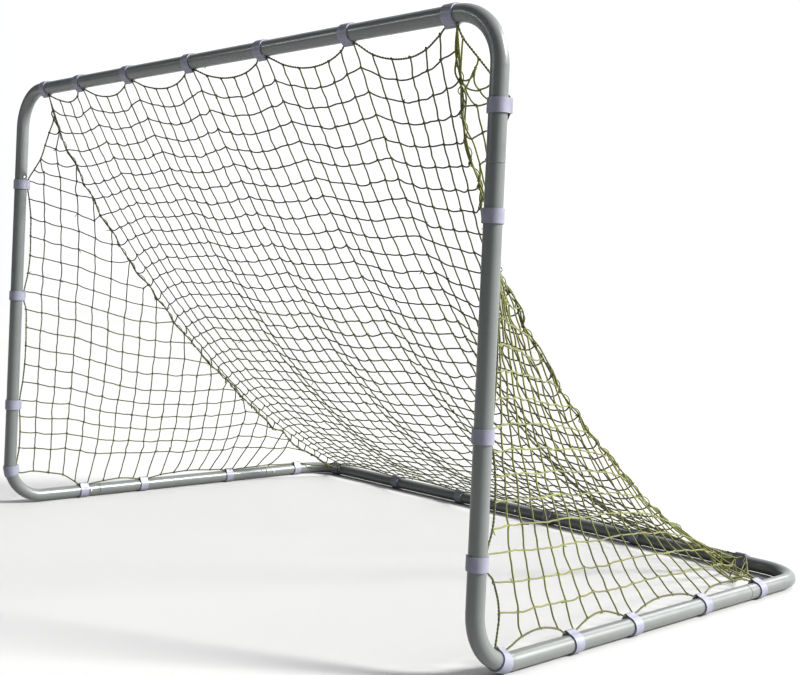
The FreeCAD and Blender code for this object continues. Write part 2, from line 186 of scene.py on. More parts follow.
# the back panel; where there are two numbers, they are for the left (-1) and the right (1) seam
PULL_IN = {-1: 0.040, 1: 0.098}  # how far the seam is drawn in towards the middle
PULL_FULL = {-1: 0.60, 1: 0.42}  # how far down the seam that is full
SEAM_REACH = {-1: 1.7, 1: 5.0}  # columns over which the back panel follows the seam's bend
SEAM_POWER = 2.6  # how hollow the seam's curve is
SEAM_END = 8  # its ends are brought to the clips over one part in this many
SEAM_WANDER = 0.0025  # how far its knots stand off its curve
ROW_DROP = 0.20  # how much wider its squares are at the top, where it is steep
BACK_SAG = 0.050  # how far it hangs in from a flat sheet
HEM = np.array([0.0, 0.006, -0.028])  # from the crossbar's end clips to where the even rows start
BORDER_REACH = 3.0  # rows over which the back panel follows the border's bows
UPRIGHT_SPARE, UPRIGHT_VARIES = 1.001, 0.004  # a twine's length, as a share of the gap it crosses
ROW_SPARE, ROW_VARIES, ROW_DRAWN = 1.008, 0.015, 1.014

# the side panels
FIRST_COLUMN = 0.018  # from the mouth to where a panel's squares would start
POST_GAP = 0.018  # from the post's border to a panel's first knots
POST_REACH, FOOT_REACH = 3, 4  # squares over which a panel follows its borders' bows
FALL_FULL = 0.4  # the rows' fall towards the back is full from this height up
FALL_UNTIL, FALL_FADE = 0.35, 0.6  # and as far back as this, from where it fades over this length
SEAM_SHARE = 0.975  # how far out to the seam a panel has knots of its own
FIRST_INSET, INSET_POWER = 0.012, 2.2  # how it curves in from the tubes to the seam
INSET_MOST = 0.98  # and the most of a knot's two flat measures that this may take up
SIDE_SPARE, SIDE_VARIES, SIDE_DRAWN = 1.004, 0.008, 1.006
SHORT_TIE, LONG_TIE, TIE_SPARE = 0.02, 0.1, 1.02  # of the twines from its last knots to the seam
LEFT_PANEL = {"front_counts": (4, 6, 6, 6), "front_slack": (0.003, 0.003, 0.003, 0.006),
              "foot_counts": (5, 4, 7, 6, 3), "foot_slack": (0.02, 0.006, 0.006, 0.006, 0.01),
              "fall": 0.21}
RIGHT_PANEL = {"front_counts": (3, 5, 8, 4, 4), "front_slack": (0.05, 0.03, 0.015, 0.015, 0.005),
               "foot_counts": (4, 4, 5, 5, 6), "foot_slack": (0.035, 0.030, 0.010, 0.006, 0.01),
               "fall": 0.0}
rng = np.random.default_rng(4)


def lean(a, b, degrees):
    """The direction a, tipped towards b."""
    t = math.radians(degrees)
    return math.cos(t) * np.array(a, float) + math.sin(t) * np.array(b, float)


BACK_OUT = lean(Y, Z, 45)  # the way the back panel faces


class Net:
    """Knots, and the twines between them with their own lengths."""

    def __init__(self):
        self.points, self.held, self.pairs, self.lengths, self.panels = [], [], [], [], []
        self.twines = []

    def knot(self, point, held=False):
        self.points.append(np.array(point, float))
        self.held.append(held)
        return len(self.points) - 1

    def tie(self, a, b, length, panel, twine=0.0):
        """length is what the net's folds leave of a twine, which can be longer and hang slack."""
        self.pairs.append((a, b))
        self.lengths.append(length)
        self.panels.append(panel)
        self.twines.append(max(length, twine))

    def gap(self, a, b):
        return float(np.linalg.norm(self.points[a] - self.points[b]))


net = Net()
SAME_PLACE = 0.002  # points nearer than this are one


def hang_border(clips, counts, slack, pulls, first=None, last=None):
    """Threads a border cord through clips. Gives the knots on it, and all the points it passes."""
    knots, chain = [], []
    for k, count in enumerate(counts):
        a, b = clips[k], clips[k + 1]
        chord = b["at"] - a["at"]
        way_a = a["axis"] * np.sign(a["axis"] @ chord)
        way_b = b["axis"] * np.sign(b["axis"] @ chord)
        leave = a["at"] + way_a * HALF_CLIP
        enter, out = b["at"] - way_b * HALF_CLIP, b["at"] + way_b * HALF_CLIP
        if k == 0:
            knots.append(net.knot(leave, True) if first is None else first)
            chain.append(knots[0])
            if first is not None and np.linalg.norm(net.points[first] - leave) > 2 * SAME_PLACE:
                chain.append(net.knot(leave, True))
        direct = np.linalg.norm(enter - leave)
        free = direct * (1 + slack[k])
        cell = (free + 2 * HALF_CLIP) / count
        # a shallow bow of depth d across a gap c is 8/3 (d / c)^2 longer than the gap
        bow = 4 * direct * math.sqrt(max(slack[k], MIN_SLACK) * 3 / 8)
        for m in range(1, count):
            u = min(m * cell / free, 0.98)  # short of the next clip
            knot = net.knot(leave + (enter - leave) * u + pulls[k] * bow * u * (1 - u))
            net.tie(chain[-1], knot, cell, "border")
            knots.append(knot)
            chain.append(knot)
        rest = max(cell - 2 * HALF_CLIP, MIN_CORD)
        ends = k == len(counts) - 1 and last is not None
        if ends and np.linalg.norm(net.points[last] - enter) < SAME_PLACE:
            net.tie(chain[-1], last, rest, "border")
        else:
            knot = net.knot(enter, True)
            net.tie(chain[-1], knot, rest, "border")
            chain.append(knot)
        far = last if ends else net.knot(out, True)
        knots.append(far)
        if chain[-1] != far:
            chain.append(far)
    return knots, chain


def seam_curve(side, top, foot):
    """The rows' knots on the sewn seam, from the crossbar's end clip to the rear bar's."""
    t = np.linspace(0, 1, 1501)  # finely, to be measured along
    a = t * math.pi / 2
    half_top, half_foot = abs(top[0]), abs(foot[0])
    ease = np.clip(t / PULL_FULL[side], 0, 1)
    pull = PULL_IN[side] * np.sin(2 * a) * ease ** 2 * (3 - 2 * ease)
    half = half_top + (half_foot - half_top) * t - pull
    line = np.stack([side * half,
                     MOUTH + (REAR - MOUTH) * np.sin(a) ** SEAM_POWER,
                     GROUND + (TOP - GROUND) * np.cos(a) ** SEAM_POWER], -1)
    near_top = np.clip(1 - t * SEAM_END, 0, 1) ** 2
    near_foot = np.clip(1 - (1 - t) * SEAM_END, 0, 1) ** 2
    line += near_top[:, None] * (top - line[0]) + near_foot[:, None] * (foot - line[-1])
    run = np.r_[0, np.cumsum(np.linalg.norm(np.diff(line, axis=0), axis=1))]
    even = np.linspace(0, 1, ROWS + 1)
    steps = run[-1] * ((1 + ROW_DROP) * even - ROW_DROP * even ** 2)
    return np.stack([np.interp(steps, run, line[:, k]) for k in range(3)], 1)


def hang_back():
    """The back panel: its borders, its two seams, and the rows and uprights between them."""
    top, top_chain = hang_border(crossbar_clips, SPANS_TOP, TOP_SLACK, [lean(-Z, Y, 15)] * 6)
    rear, rear_chain = hang_border(rear_clips, SPANS_REAR, [REAR_SLACK] * 5, [lean(Z, -Y, 40)] * 5)
    grid = np.full((COLUMNS + 1, ROWS + 1), -1, int)
    grid[:, 0], grid[:, ROWS] = top, rear
    for side, column in ((-1, 0), (1, COLUMNS)):
        line = seam_curve(side, net.points[top[column]], net.points[rear[column]])
        for j in range(1, ROWS):
            stagger = X * SEAM_WANDER * (-1) ** j * min(1.0, j / 4)  # less in the first rows
            grid[column, j] = net.knot(line[j] + stagger + rng.normal(0, SEAM_WANDER, 3), True)
    seam_left = np.array([net.points[k] for k in grid[0]])
    seam_right = np.array([net.points[k] for k in grid[COLUMNS]])
    row = np.arange(ROWS + 1)
    down = np.linspace(0, 1, ROWS + 1)
    sag = BACK_SAG * 4 * down * (1 - down) * (1.5 - down)  # deepest above the middle
    hollow = sag[:, None] * BACK_OUT
    for i in range(1, COLUMNS):
        across = i / COLUMNS
        start = seam_left[0] * (1 - across) + seam_right[0] * across + HEM
        end = seam_left[-1] * (1 - across) + seam_right[-1] * across
        line = start + (end - start) * down[:, None] - hollow
        line += np.exp(-row / BORDER_REACH)[:, None] * (net.points[top[i]] - start)
        line += np.exp(-(ROWS - row) / BORDER_REACH)[:, None] * (net.points[rear[i]] - end)
        for column, seam, reach in ((i, seam_left, SEAM_REACH[-1]),
                                    (COLUMNS - i, seam_right, SEAM_REACH[1])):
            edge = seam[0] + (seam[-1] - seam[0]) * down[:, None] - hollow
            line += math.exp(-column / reach) * (seam - edge)
        for j in range(1, ROWS):
            grid[i, j] = net.knot(line[j])
    for i in range(COLUMNS + 1):
        for j in range(ROWS):
            gap = net.gap(grid[i, j], grid[i, j + 1])
            if i in (0, COLUMNS):
                net.tie(grid[i, j], grid[i, j + 1], gap, "seam")
            else:
                share = UPRIGHT_SPARE + rng.normal(0, UPRIGHT_VARIES)
                net.tie(grid[i, j], grid[i, j + 1], gap * share, "back")
    for j in range(1, ROWS):
        for i in range(COLUMNS):
            gap = net.gap(grid[i, j], grid[i + 1, j])
            share = ROW_SPARE + rng.normal(0, ROW_VARIES)
            net.tie(grid[i, j], grid[i + 1, j], gap * share, "back", gap * ROW_DRAWN)
    return grid, top_chain, rear_chain


def hang_side(side, seam_knots, posts, bars, end_clip, rear_clip, front_counts, front_slack,
              foot_counts, foot_slack, fall):
    """A triangular side panel, in squares from the post and the ground bar to the seam."""
    panel = "left" if side < 0 else "right"
    fronts = [Y] * (len(front_counts) - 1) + [lean(Y, -Z, 30)]
    feet = [Z] * (len(foot_counts) - 1) + [lean(Z, -side * X, 30)]
    meet, meet_knot = end_clip, seam_knots[0]
    if side < 0:  # the left panel's border ends a row down the seam, and not at the crossbar's clip
        meet_knot = seam_knots[1]
        rise = net.points[meet_knot] - posts[-1]["at"]
        meet = {"at": net.points[meet_knot], "axis": rise / np.linalg.norm(rise)}
    front, front_chain = hang_border(posts + [meet], front_counts, front_slack, fronts,
                                     last=meet_knot)
    foot, foot_chain = hang_border([posts[0]] + bars + [rear_clip], foot_counts, foot_slack, feet,
                                   first=front[0], last=seam_knots[-1])
    high = np.array([net.points[k] for k in front])
    low = np.array([net.points[k] for k in foot])
    seam = np.array([net.points[k] for k in seam_knots])
    # the seam in the panel's own flat measures: back from the post, and up from the ground bar
    inset = SIDE - np.abs(seam[:, 0])
    cut = np.stack([np.hypot(inset, seam[:, 1] - MOUTH), np.hypot(inset, seam[:, 2] - GROUND)], -1)
    turn, reach = np.arctan2(cut[:, 0], cut[:, 1]), np.hypot(cut[:, 0], cut[:, 1])
    knots, flat = {}, {}
    edge_in = SIDE - np.abs(high[:, 0])
    for b, k in enumerate(front):
        knots[0, b] = k
        flat[0, b] = np.array([math.hypot(edge_in[b] - edge_in[0], high[b, 1] - MOUTH),
                               high[b, 2] - GROUND])
    for a, k in enumerate(foot):
        knots[a, 0], flat[a, 0] = k, np.array([low[a, 1] - MOUTH, low[a, 2] - GROUND])
    level = sum(front_counts[:-1])  # the squares up to the post's last clip, which set the pitch
    start = high[0, 2] - GROUND
    pitch = (high[level, 2] - high[0, 2]) / level
    for a in range(1, len(foot)):
        for b in range(1, len(front)):
            near_foot, near_post = math.exp(-b / FOOT_REACH), math.exp(-a / POST_REACH)
            u = (low[a, 1] - MOUTH) * near_foot + (FIRST_COLUMN + a * MESH) * (1 - near_foot)
            v = (high[b, 2] - GROUND) * near_post + (start + b * pitch) * (1 - near_post)
            fade = min(1.0, max(0.0, 1 - (u - FALL_UNTIL) / FALL_FADE))
            v -= fall * u * min(1.0, v / FALL_FULL) * fade
            part = math.hypot(u, v) / np.interp(math.atan2(u, v), turn, reach)
            if part < SEAM_SHARE and u > flat[0, b][0] + POST_GAP:
                deep = np.interp(math.atan2(u, v), turn, inset)
                w = max(FIRST_INSET + (deep - FIRST_INSET) * part ** INSET_POWER, edge_in[b])
                w = min(w, INSET_MOST * u, INSET_MOST * v)
                knots[a, b] = net.knot((side * (SIDE - w), MOUTH + math.sqrt(u * u - w * w),
                                        GROUND + math.sqrt(v * v - w * w)))
                flat[a, b] = np.array([u, v])
    for (a, b), k in list(knots.items()):
        for step in ((1, 0), (0, 1)):
            if (step[0] and b == 0) or (step[1] and a == 0):
                continue  # along a border, which is tied already
            other = (a + step[0], b + step[1])
            row = [n for n in range(1, len(foot)) if (n, other[1]) in knots]
            if other not in knots and row and other[0] < row[0] and other[1] < len(front):
                # the row starts back from the post: it is tied to the post's border all the same
                other = (row[0], other[1]) if step[0] else (0, other[1])
            if other in knots:
                length = float(np.linalg.norm(flat[other] - flat[a, b]))
                share = SIDE_SPARE + rng.normal(0, SIDE_VARIES)
                net.tie(k, knots[other], length * share, panel, length * SIDE_DRAWN)
                continue
            u, v = flat[a, b]
            if step[0]:  # a row's last knot, on to the seam at its own height
                aim = (np.interp(-v, -cut[:, 1], cut[:, 0]), v)
            else:  # an upright's last knot, up to the seam above it
                aim = (u, np.interp(u, cut[:, 0], cut[:, 1]))
            j = int(np.linalg.norm(cut[2:-1] - np.array(aim), axis=1).argmin()) + 2
            length = float(np.linalg.norm(cut[j] - flat[a, b]))
            if length < LONG_TIE:
                net.tie(k, seam_knots[j], max(length, SHORT_TIE) * TIE_SPARE, panel)
    return front_chain, foot_chain


grid, top_chain, rear_chain = hang_back()
left_chains = hang_side(-1, list(grid[0]), left_post_clips, left_bar_clips,
                        crossbar_clips[0], rear_clips[0], **LEFT_PANEL)
right_chains = hang_side(1, list(grid[COLUMNS]), right_post_clips, right_bar_clips,
                         crossbar_clips[-1], rear_clips[-1], **RIGHT_PANEL)
chains = (top_chain, rear_chain, *left_chains, *right_chains)


def settle(steps=1200, pull=4.0e-5, floor=0.006):
    """Lets the knots fall until the twines hold them. A twine pulls only when it is taut."""
    easing, least = steps * 0.7, 0.05  # the pull eases off from this step, down to this share
    kept_speed, rounds, overshoot = 0.96, 6, 1.6
    start = np.array(net.points)
    here, before = start.copy(), start.copy()
    held = np.array(net.held)
    free = (~held).astype(float)
    a, b = np.array(net.pairs).T
    length = np.array(net.lengths)
    share = free[a] + free[b]
    for step in range(steps):
        ease = 1.0 if step < easing else max(least, 1 - (step - easing) / (steps - easing))
        weight = pull * ease
        speed = (here - before) * kept_speed
        before = here.copy()
        here = here + speed * free[:, None]
        here[:, 2] -= weight * free
        for _ in range(rounds):
            span = here[b] - here[a]
            dist = np.linalg.norm(span, axis=1)
            taut = (dist > length) & (share > 0)
            fix = span[taut] * ((dist - length)[taut] / dist[taut] / share[taut])[:, None]
            move, count = np.zeros_like(here), np.ones(len(here))
            np.add.at(move, a[taut], fix * free[a[taut], None])
            np.add.at(move, b[taut], -fix * free[b[taut], None])
            np.add.at(count, a[taut], 1)
            np.add.at(count, b[taut], 1)
            here += move / np.maximum(count - 1, 1)[:, None] * overshoot
            here[held] = start[held]
        here[:, 2] = np.maximum(here[:, 2], floor)
    return here


knots = settle()


# ---------------------------------------------------------------- twine and knots as meshes
TWINE, STRAND, LACE = 0.0018, 0.0014, 0.0012  # radii: net twine, a strand of the cord, the lacing
KNOT_TWINE, TAIL_TWINE = 0.0013, 0.00105
CAP = 0.6  # how far a tube's closed end stands out, in radii
APART = 0.37  # between one tube's UV and the next, so that no two look alike
OFF_FLOOR = 0.0008  # no twine goes lower
TINY = 1e-6  # keeps a length from being zero
KNOT_SIZES = (0.85, 1.2)  # as shares of the usual size
TILT, SCATTER = 0.3, 0.35  # how far a knot's face and a twine's hang stray
TAILS, TAIL_DROOP = (0.004, 0.010), 0.6  # a loose tail's length, and how much it points down
TIGHTEST = 0.12  # how much of a seam's spread is left at its ends
FLATTER, WRAP = 0.6, 1.5  # its depth and its lacing's radius, as shares of its spread
SOFTEN = 7  # points over which its strands' turns are rounded
BACK_TAILS, SIDE_TAILS, SEAM_TAILS = 0.10, 0.35, 0.5  # share of the knots that have a tail


class Tubes:
    """Gathers swept tubes into one mesh, with a UV that runs along each in metres."""

    def __init__(self):
        self.points, self.faces, self.uvs, self.count, self.run = [], [], [], 0, 0.0

    def sweep(self, path, radius, sides=6, capped=False):
        path = np.asarray(path, float)
        rings = len(path)
        ahead = np.gradient(path, axis=0)
        ahead /= np.linalg.norm(ahead, axis=1)[:, None]
        side = np.cross(ahead[0], Z if abs(ahead[0][2]) < 0.8 else X)
        frames = []
        for t in ahead:
            side = side - (side @ t) * t
            side /= np.linalg.norm(side)
            frames.append((side, np.cross(t, side)))
        turn = np.arange(sides) * 2 * math.pi / sides
        wheel = np.stack([np.cos(turn), np.sin(turn)], 1)
        body = np.concatenate([path[k] + radius * (wheel @ np.array(frames[k]))
                               for k in range(rings)])
        base = self.count
        k, s = np.meshgrid(np.arange(rings - 1), np.arange(sides), indexing="ij")
        k, s = k.ravel(), s.ravel()
        n = (s + 1) % sides
        quads = base + np.stack([k * sides + s, k * sides + n,
                                 (k + 1) * sides + n, (k + 1) * sides + s], 1)
        along = self.run + np.r_[0, np.cumsum(np.linalg.norm(np.diff(path, axis=0), axis=1))]
        u0, u1, v0, v1 = along[k], along[k + 1], s / sides, (s + 1) / sides
        self.uvs.append(np.stack([u0, v0, u0, v1, u1, v1, u1, v0], 1).reshape(-1, 2))
        self.points.append(body)
        self.faces.append(quads)
        self.count += len(body)
        if capped:
            for ring, way in ((0, -1), (rings - 1, 1)):
                tip = path[ring] + way * ahead[ring] * radius * CAP
                self.points.append(tip[None])
                hub = self.count
                self.count += 1
                first = base + ring * sides
                fan = [[first + q, first + (q + 1) % sides, hub, hub] for q in range(sides)]
                fan = [f if way > 0 else [f[1], f[0], f[2], f[3]] for f in fan]
                self.faces.append(np.array(fan))
                self.uvs.append(np.full((len(fan) * 4, 2), along[ring]))
        self.run += APART + along[-1] - along[0]

    def build(self, name, made, body="frame"):
        points = np.concatenate(self.points)
        points[:, 2] = np.maximum(points[:, 2], OFF_FLOOR)
        mesh = bpy.data.meshes.new(name)
        faces, uvs = [], []
        for block, uv in zip(self.faces, self.uvs):
            for row, f in enumerate(block.tolist()):
                keep = 3 if f[2] == f[3] else 4  # a cap's triangle names its last point twice
                faces.append(f[:keep])
                uvs.append(uv[row * 4:row * 4 + keep])
        mesh.from_pydata(points.tolist(), [], faces)
        layer = mesh.uv_layers.new(name="along")
        layer.data.foreach_set("uv", np.concatenate(uvs).ravel())
        mesh.polygons.foreach_set("use_smooth", np.ones(len(mesh.polygons), bool))
        mesh.materials.append(made)
        piece = bpy.data.objects.new(name, mesh)
        scene.collection.objects.link(piece)
        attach(piece, body)
        return piece


def smooth_noise(count, size):
    """A gentle wander along a twine, nothing at its ends."""
    t = np.linspace(0, 1, count)
    wave = sum(rng.normal(0, 1, 3)[None] * np.sin(math.pi * h * t)[:, None] / h
               for h in (1, 2, 3, 4))
    return wave * size


def twine_path(a, b, length, rings=9, crinkle=0.0007, deepest=0.26):
    """A twine between two knots, its spare length hanging more or less down."""
    span = b - a
    dist = np.linalg.norm(span)
    t = np.linspace(0, 1, rings)
    ahead = span / dist
    down = -Z + ahead[2] * ahead
    down /= max(np.linalg.norm(down), TINY)
    fall = down + rng.normal(0, SCATTER, 3)
    fall -= (fall @ ahead) * ahead
    fall /= max(np.linalg.norm(fall), TINY)
    bow = dist * min(math.sqrt(3 / 8 * max(length / dist - 1, 0.0)), deepest)
    path = a + span * t[:, None] + fall * (bow * 4 * t * (1 - t))[:, None]
    return path + smooth_noise(rings, crinkle)


def knot_path(centre, size, flat):
    """A trefoil turn of twine, lying roughly in the net's surface."""
    t = np.linspace(0, 2 * math.pi, 17)
    turn = rng.uniform(0, 2 * math.pi)
    x = np.sin(t + turn) + 2 * np.sin(2 * (t + turn))
    y = np.cos(t + turn) - 2 * np.cos(2 * (t + turn))
    z = -np.sin(3 * (t + turn))
    side = np.cross(flat, X + 0.3 * Z)
    side /= np.linalg.norm(side)
    across = np.cross(flat, side)
    return centre + size / 3 * (x[:, None] * side + y[:, None] * across + 0.9 * z[:, None] * flat)


def draw_panel(tubes, panel):
    """The panel's twines. Gives the knots they join."""
    used = set()
    for (a, b), length, kind in zip(net.pairs, net.twines, net.panels):
        if kind == panel:
            tubes.sweep(twine_path(knots[a], knots[b], length), TWINE)
            used.update((a, b))
    return used


def draw_knots(tubes, places, flat, tail_share, size=0.0027):
    """A knot at each place, square to flat more or less, and a loose tail at some of them."""
    for k in sorted(places):
        normal = flat + rng.normal(0, TILT, 3)
        normal /= np.linalg.norm(normal)
        path = knot_path(knots[k], size * rng.uniform(*KNOT_SIZES), normal)
        tubes.sweep(path, KNOT_TWINE, sides=5)
        if rng.random() < tail_share:
            way = rng.normal(0, 1, 3)
            way[2] -= TAIL_DROOP
            way /= np.linalg.norm(way)
            curl = rng.normal(0, SCATTER, 3)
            t = np.linspace(0, 1, 5)[:, None]
            long = rng.uniform(*TAILS)
            path = knots[k] + long * (way * t + curl * t * t)
            tubes.sweep(path, TAIL_TWINE, sides=5, capped=True)


def smooth_line(points, step):
    """A smooth line through the points, in even steps."""
    points = np.asarray(points)
    out = []
    for k in range(len(points) - 1):
        p0, p1 = points[max(k - 1, 0)], points[k]
        p2, p3 = points[k + 1], points[min(k + 2, len(points) - 1)]
        gap = np.linalg.norm(p2 - p1)
        m1 = (p2 - p0) / max(np.linalg.norm(p1 - p0) + gap, TINY) * gap
        m2 = (p3 - p1) / max(np.linalg.norm(p3 - p2) + gap, TINY) * gap
        count = max(int(gap / step), 1)
        t = (np.arange(count) / count)[:, None]
        out.append((2 * t ** 3 - 3 * t ** 2 + 1) * p1 + (t ** 3 - 2 * t ** 2 + t) * m1
                   + (3 * t ** 2 - 2 * t ** 3) * p2 + (t ** 3 - t ** 2) * m2)
    return np.concatenate(out + [points[-1:]])


def offsets(line):
    """Two directions square to the line at each of its points."""
    ahead = np.gradient(line, axis=0)
    ahead /= np.linalg.norm(ahead, axis=1)[:, None]
    side = np.cross(ahead, Z + 0.001 * X)
    side /= np.maximum(np.linalg.norm(side, axis=1), TINY)[:, None]
    return side, np.cross(ahead, side)


def draw_cord(tubes, chain, step=0.0028, wander=0.00006, gap=0.00105, pitch=0.014):
    """Two strands laid round each other along the border."""
    line = smooth_line(knots[chain], step)
    drift = np.cumsum(rng.normal(0, 1, (len(line), 3)), axis=0)
    drift -= np.linspace(0, 1, len(line))[:, None] * drift[-1]
    line = line + wander * drift
    run = np.r_[0, np.cumsum(np.linalg.norm(np.diff(line, axis=0), axis=1))]
    side, up = offsets(line)
    for turn in (0, math.pi):
        a = (2 * math.pi * run / pitch + turn)[:, None]
        tubes.sweep(line + gap * (np.cos(a) * side + np.sin(a) * up), STRAND, capped=True)


def draw_seam(tubes, chain, strands, spread, step=0.006, reach=0.045, gather=0.08, pitch=0.052):
    """The gathered seam: strands that wander round its line, laced together."""
    line = smooth_line(knots[chain], step)
    side, up = offsets(line)
    run = np.r_[0, np.cumsum(np.linalg.norm(np.diff(line, axis=0), axis=1))]
    ease = np.clip(np.minimum(run, run[-1] - run) / gather, TIGHTEST, 1)
    turns = int(run[-1] / reach)
    marks = np.linspace(0, run[-1], turns)
    kernel = np.hanning(SOFTEN) / np.hanning(SOFTEN).sum()
    for _ in range(strands):
        x = np.interp(run, marks, rng.normal(0, spread, turns))
        y = np.interp(run, marks, rng.normal(0, spread * FLATTER, turns))
        x = np.convolve(np.pad(x, SOFTEN // 2, "edge"), kernel, "valid") * ease
        y = np.convolve(np.pad(y, SOFTEN // 2, "edge"), kernel, "valid") * ease
        tubes.sweep(line + x[:, None] * side + y[:, None] * up, TWINE, capped=True)
    a = (2 * math.pi * run / pitch)[:, None]
    wrap = spread * WRAP * ease[:, None]
    tubes.sweep(line + wrap * (np.cos(a) * side + np.sin(a) * up), LACE, capped=True)


# ---------------------------------------------------------------- materials
# colours that a pattern runs between, the darker or the duller first
COAT_TINTS = (0.119, 0.130, 0.127), (0.138, 0.150, 0.145)
COAT_FLECKS = (0.095, 0.106, 0.102), (0.23, 0.244, 0.244)
COAT_SCUFF = (0.095, 0.102, 0.102, 1)
CLIP_TINTS = (0.190, 0.190, 0.242), (0.230, 0.230, 0.290)
FLOOR_TINTS = (0.436, 0.436, 0.436), (0.454, 0.454, 0.454)
FIBRES = (0.72, 0.72, 0.66), (1.12, 1.12, 1.08)  # multiplied into a twine's dye
# the grooves between a twine's plies are darkened with this: painted shade
PLY_GROOVE_SHADE, PLY_CROWN = (0.52, 0.50, 0.42, 1), (1.0, 1.0, 1.0, 1)  # and so are these
PLIES, LAY = 3, 0.007  # a twine's plies, and the length in which they wind round once


def material(name, roughness=0.5, metallic=0.0, sheen=0.0, coat=0.0):
    made = bpy.data.materials.new(name)
    made.use_nodes = True
    tree = made.node_tree
    shader = tree.nodes["Principled BSDF"]
    shader.inputs["Roughness"].default_value = roughness
    shader.inputs["Metallic"].default_value = metallic
    shader.inputs["Sheen Weight"].default_value = sheen
    shader.inputs["Coat Weight"].default_value = coat
    return made, tree, shader


def place(tree, kind, **values):
    node = tree.nodes.new(kind)
    for key, value in values.items():
        if key in node.inputs:
            node.inputs[key].default_value = value
        else:
            setattr(node, key, value)
    return node


def on_object(tree):
    return tree.nodes.new("ShaderNodeTexCoord").outputs["Object"]


def noise(tree, source, scale, detail=3.0, roughness=0.55):
    node = place(tree, "ShaderNodeTexNoise", Scale=scale, Detail=detail, Roughness=roughness)
    tree.links.new(source, node.inputs["Vector"])
    return node.outputs["Fac"]


def maths(tree, operation, a, b):
    node = place(tree, "ShaderNodeMath", operation=operation)
    for socket, value in zip(node.inputs, (a, b)):
        if isinstance(value, float):
            socket.default_value = value
        else:
            tree.links.new(value, socket)
    return node.outputs[0]


def ramp(tree, source, stops):
    node = tree.nodes.new("ShaderNodeValToRGB")
    line = node.color_ramp
    while len(line.elements) < len(stops):
        line.elements.new(0.5)
    for element, (at, colour) in zip(line.elements, stops):
        element.position = at
        element.color = (*colour, 1)
    tree.links.new(source, node.inputs["Fac"])
    return node.outputs["Color"]


def tints(tree, source, low, high, pair):
    """The first colour of the pair where the source is low, the second where it is high."""
    return ramp(tree, source, [(low, pair[0]), (high, pair[1])])


def mix(tree, fac, a, b, blend="MIX"):
    node = tree.nodes.new("ShaderNodeMix")
    node.data_type, node.blend_type = "RGBA", blend
    for socket, value in ((node.inputs[0], fac), (node.inputs[6], a), (node.inputs[7], b)):
        if isinstance(value, (float, tuple)):
            socket.default_value = value
        else:
            tree.links.new(value, socket)
    return node.outputs[2]


def span(tree, source, low, high, to_low, to_high):
    node = tree.nodes.new("ShaderNodeMapRange")
    for key, value in (("From Min", low), ("From Max", high),
                       ("To Min", to_low), ("To Max", to_high)):
        node.inputs[key].default_value = value
    tree.links.new(source, node.inputs["Value"])
    return node.outputs["Result"]


def bump(tree, shader, height, strength, distance, under=None):
    node = place(tree, "ShaderNodeBump", Strength=strength, Distance=distance)
    tree.links.new(height, node.inputs["Height"])
    if under is not None:
        tree.links.new(under, node.inputs["Normal"])
    tree.links.new(node.outputs["Normal"], shader.inputs["Normal"])
    return node.outputs["Normal"]


def tube_material():
    """Silver-grey powder coat: orange peel, faint flake and small scuffs."""
    made, tree, shader = material("powder_coat", metallic=0.10, coat=0.30)
    shader.inputs["Coat Roughness"].default_value = 0.12
    where = on_object(tree)
    tint = tints(tree, noise(tree, where, 6.0, 4), 0.3, 0.7, COAT_TINTS)
    fleck = tints(tree, noise(tree, where, 1400.0, 2), 0.35, 0.68, COAT_FLECKS)
    coat = mix(tree, 0.22, tint, fleck)
    scuffs = noise(tree, where, 55.0, 8, 0.75)
    scuffed = span(tree, scuffs, 0.665, 0.72, 0.0, 0.55)
    tree.links.new(mix(tree, scuffed, coat, COAT_SCUFF), shader.inputs["Base Color"])
    rough = span(tree, noise(tree, where, 18.0, 5), 0.3, 0.7, 0.34, 0.47)
    tree.links.new(rough, shader.inputs["Roughness"])
    peel = bump(tree, shader, noise(tree, where, 420.0, 3), 0.05, 0.0006)
    bump(tree, shader, scuffs, 0.05, 0.0008, under=peel)
    return made


def clip_material():
    """Moulded plastic with a little violet in it, faintly textured."""
    made, tree, shader = material("clip_plastic")
    shader.inputs["Subsurface Weight"].default_value = 0.08
    shader.inputs["Subsurface Radius"].default_value = (0.004, 0.004, 0.005)
    shader.inputs["IOR"].default_value = 1.49
    where = on_object(tree)
    tint = tints(tree, noise(tree, where, 35.0, 5), 0.28, 0.7, CLIP_TINTS)
    tree.links.new(tint, shader.inputs["Base Color"])
    rough = span(tree, noise(tree, where, 90.0, 4), 0.3, 0.7, 0.36, 0.52)
    tree.links.new(rough, shader.inputs["Roughness"])
    bump(tree, shader, noise(tree, where, 700.0, 3), 0.12, 0.0005)
    return made


def steel_material(name, base, roughness):
    """Bare steel: drawn lines along Z, and dull patches."""
    made, tree, shader = material(name, metallic=1.0)
    where = on_object(tree)
    stretch = place(tree, "ShaderNodeMapping", Scale=(1.0, 1.0, 0.05))
    tree.links.new(where, stretch.inputs["Vector"])
    lines = noise(tree, stretch.outputs["Vector"], 2600.0, 3)
    rough = span(tree, lines, 0.3, 0.7, roughness - 0.08, roughness + 0.12)
    tree.links.new(rough, shader.inputs["Roughness"])
    dull = span(tree, noise(tree, where, 160.0, 5), 0.4, 0.75, 0.0, 0.5)
    duller = (base[0] * 0.55, base[1] * 0.52, base[2] * 0.48, 1)
    tree.links.new(mix(tree, dull, (*base, 1), duller), shader.inputs["Base Color"])
    bump(tree, shader, lines, 0.15, 0.0002)
    return made


